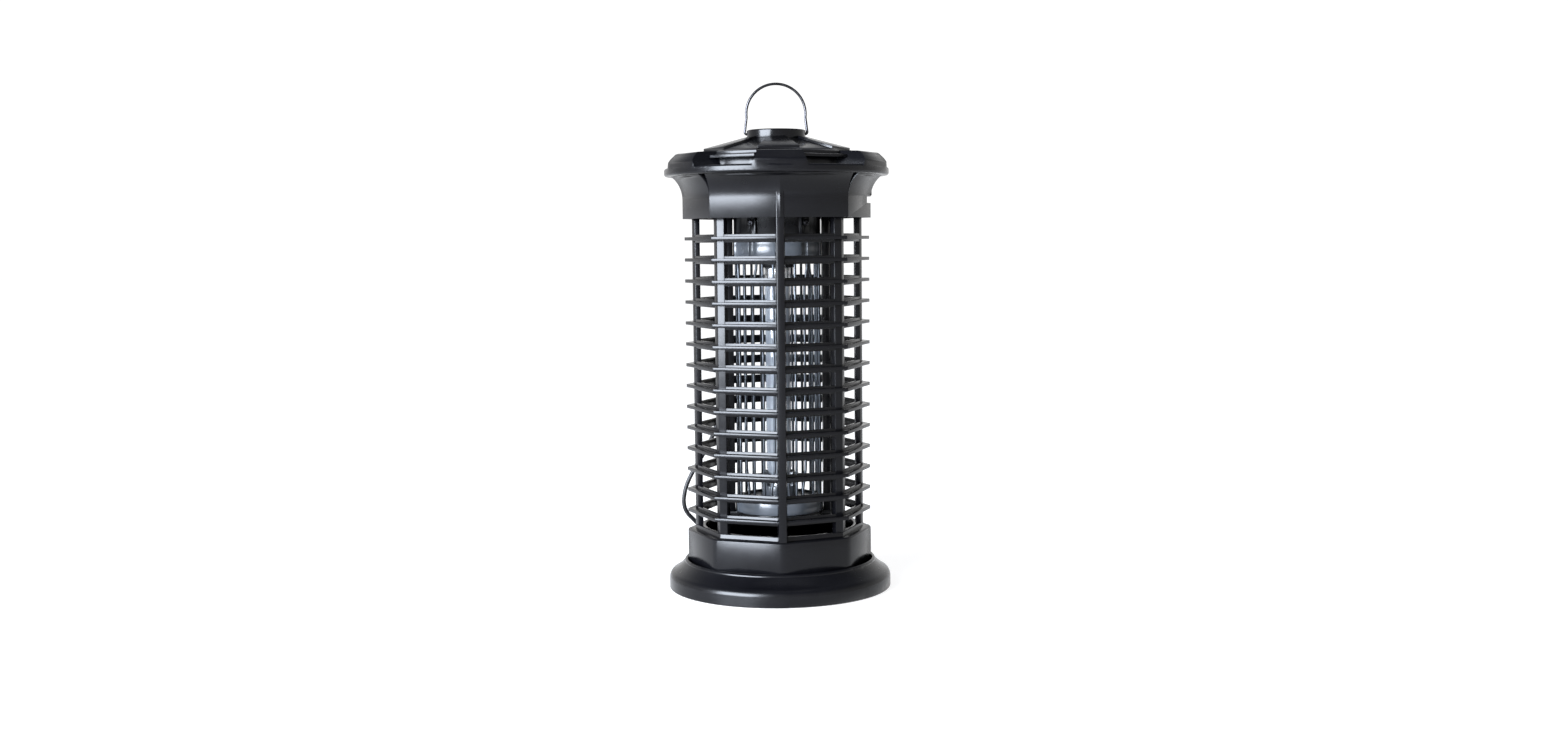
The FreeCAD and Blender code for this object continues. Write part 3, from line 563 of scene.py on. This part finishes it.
def make_rods():
    """Round wires in two sets, every other one of each polarity."""
    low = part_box("hot_grid_rods")[0].z
    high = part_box("hot_grid_rods")[1].z
    for name, node, first in (("grid_wires_hot", "hot_grid_rods", 0),
                              ("grid_wires_return", "return_grid_rods", 1)):
        bm = bmesh.new()
        for i in range(first, ROD_COUNT, 2):
            lean_low, lean_high = ROD_LEANS.get(i, (0.0, 0.0))
            middle = 360.0 / ROD_COUNT * (i + 0.5)
            tube_along(bm, rod_path(middle, lean_low, lean_high, low, high), ROD_R)
        obj = add_mesh(name, bm, "grid_steel")
        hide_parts(node)


LAMP_SHOULDER = 5.0 * MM
LAMP_NECKING = 1.0 * MM


def make_lamp():
    """Glass tube drawn in a little at its caps."""
    low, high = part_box("lamp_tube")
    r = (high.x - low.x) / 2
    bm = bmesh.new()
    neck = low.z + 1.0 * MM
    outline = [(0.0, low.z), (r - 1.6 * MM, low.z), (r - LAMP_NECKING, neck)]
    for k in range(6):
        t = k / 5
        outline.append((r - LAMP_NECKING * math.cos(t * math.pi / 2) ** 2, neck + LAMP_SHOULDER * t))
    mirror = [(a, low.z + high.z - z) for a, z in reversed(outline)]
    lathe(bm, outline + mirror, Vector((0, 0, 0)), around=64)
    obj = add_mesh("lamp_glass_tube", bm, "lamp_glass")
    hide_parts("lamp_tube")


make_rods()
make_lamp()


# ---------------------------------------------------------------- finish of the CAD nodes
SLOT_OF = {row["node"]: row["material_slot"] for row in frame["record"]["subparts"]}
REPLACED = {"cord_lead", "cord_coil", "cord_tail", "cord_tie", "plug_body", "hot_grid_rods",
            "return_grid_rods", "lamp_tube"}
# edge rounding in mm, where it isn't the usual one
USUAL_BEVEL = 0.25
BEVELS = {"foot": 0.5, "lower_collar": 0.5, "cage_posts": 0.35, "cage_rib_front": 0.5, "cage_rib_rear": 0.5,
          "upper_collar": 0.4, "lid_latch": 0.3, "rim_ring": 1.0, "roof_cover": 0.9, "hanger_cap": 0.5,
          "driver_can": 0.5, "can_lid": 0.3, "catch_tray": 0.3, "top_insulator": 0.5, "bottom_insulator": 0.5,
          "grid_column_left": 0.5, "grid_column_right": 0.5, "grid_base": 0.4, "lamp_socket_top": 0.5,
          "lamp_socket_bottom": 0.4, "lamp_end_caps": 0.4, "strain_relief": 0.15, "bail_handle": 0.0,
          "transformer": 0.2, "plug_blades": 0.3, "rubber_feet": 0.3, "cap_screw": 0.12, "roof_screws": 0.12,
          "can_screws": 0.12, "lamp_pins": 0.1, "circuit_board": 0.1, "capacitors": 0.0}


for node_name in sorted(frame["nodes"]):
    if node_name not in REPLACED:
        finish_node(node_name, SLOT_OF[node_name], BEVELS.get(node_name, USUAL_BEVEL) * MM)


# ---------------------------------------------------------------- floor and light
FLOOR_RADIUS = 14.0
FLOOR_GLOW = 0.84
WORLD_STRENGTH = 1.1
ZENITH = (0.2, 0.215, 0.25, 1)
KEY_COLOUR = (0.82, 0.89, 1.0)
KEY_POWER = 780.0
TOP_POWER = 2.0


def make_floor():
    """Pale disc that glows a little, so it stays white up to the horizon."""
    bm = bmesh.new()
    bmesh.ops.create_circle(bm, cap_ends=True, radius=FLOOR_RADIUS, segments=96)
    mesh = bpy.data.meshes.new("floor")
    bm.to_mesh(mesh)
    bm.free()
    floor = bpy.data.objects.new("floor", mesh)
    scene.collection.objects.link(floor)
    m, tree, bsdf = new_material("floor_paper")
    at = object_coords(tree)
    tree.links.new(tint(tree, noise(tree, at, 3.0, 2.0), (0.29, 0.29, 0.29), (0.3, 0.3, 0.3)),
                   bsdf.inputs["Base Color"])
    bsdf.inputs["Roughness"].default_value = 0.8
    bsdf.inputs["Specular IOR Level"].default_value = 0.2
    bsdf.inputs["Emission Color"].default_value = (1, 1, 1, 1)
    bsdf.inputs["Emission Strength"].default_value = FLOOR_GLOW
    mesh.materials.append(m)


def area_light(name, place, target, size, power, colour=(1, 1, 1)):
    data = bpy.data.lights.new(name, "AREA")
    data.shape = "RECTANGLE"
    data.size, data.size_y = size
    data.energy = power
    data.color = colour
    obj = bpy.data.objects.new(name, data)
    scene.collection.objects.link(obj)
    obj.location = place
    obj.rotation_euler = (Vector(target) - Vector(place)).to_track_quat("-Z", "Y").to_euler()


def make_light():
    """White at the horizon and grey overhead, with a large soft key on the left."""
    world = bpy.data.worlds.new("studio")
    world.use_nodes = True
    tree = world.node_tree
    back = tree.nodes["Background"]
    back.inputs["Strength"].default_value = WORLD_STRENGTH
    apart = tree.nodes.new("ShaderNodeSeparateXYZ")
    tree.links.new(tree.nodes.new("ShaderNodeTexCoord").outputs["Generated"], apart.inputs[0])
    ramp = tree.nodes.new("ShaderNodeValToRGB")
    ramp.color_ramp.elements[0].position = 0.3
    ramp.color_ramp.elements[0].color = (1, 1, 1, 1)
    ramp.color_ramp.elements[1].position = 0.7
    ramp.color_ramp.elements[1].color = ZENITH
    tree.links.new(apart.outputs["Z"], ramp.inputs["Fac"])
    tree.links.new(ramp.outputs["Color"], back.inputs["Color"])
    scene.world = world
    area_light("key", (-2.0, -1.9, 0.75), (0, 0, 0.18), (2.2, 1.8), KEY_POWER, KEY_COLOUR)
    area_light("top", (0.2, -0.4, 2.4), (0, 0, 0.2), (1.4, 1.4), TOP_POWER)
    scene.view_settings.view_transform = "Standard"


make_floor()
make_light()
